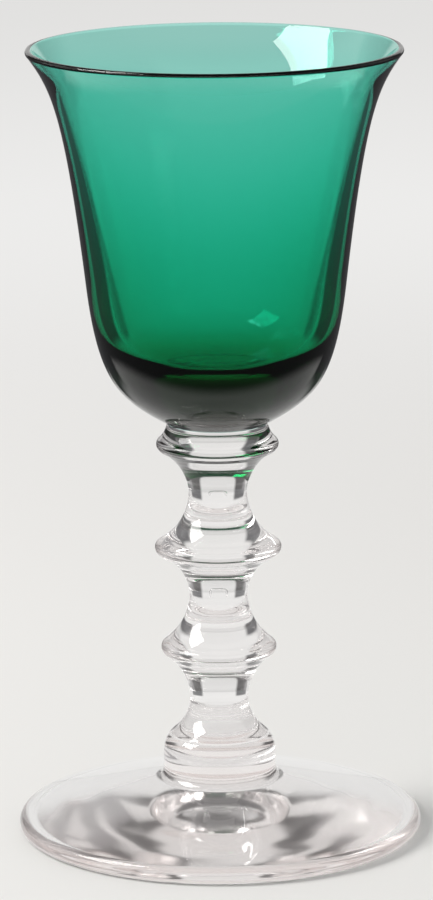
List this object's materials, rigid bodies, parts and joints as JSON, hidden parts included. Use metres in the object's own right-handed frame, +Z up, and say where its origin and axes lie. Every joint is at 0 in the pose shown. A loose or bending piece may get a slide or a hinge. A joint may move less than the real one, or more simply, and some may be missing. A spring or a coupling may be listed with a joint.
{
  "type": "cordial glass",
  "caption": "Small stemmed cordial glass: a green bell bowl with a heavy base and flared lip on a clear knopped stem over a clear round foot.",
  "frame": {"origin": "centre of the foot's resting plane, on the axis of the glass", "axes": "+Z up along the axis of the glass, from the foot to the rim"},
  "size_m": [0.052, 0.052, 0.102],
  "materials": {
    "foot_glass": "clear polished cast glass",
    "stem_glass": "clear fire-polished pressed glass",
    "bowl_glass": "transparent green blown glass with a fire-polished lip"
  },
  "bodies": {
    "root": {"foot": "foot_glass", "stem": "stem_glass", "bowl": "bowl_glass"}
  },
  "joints": []
}
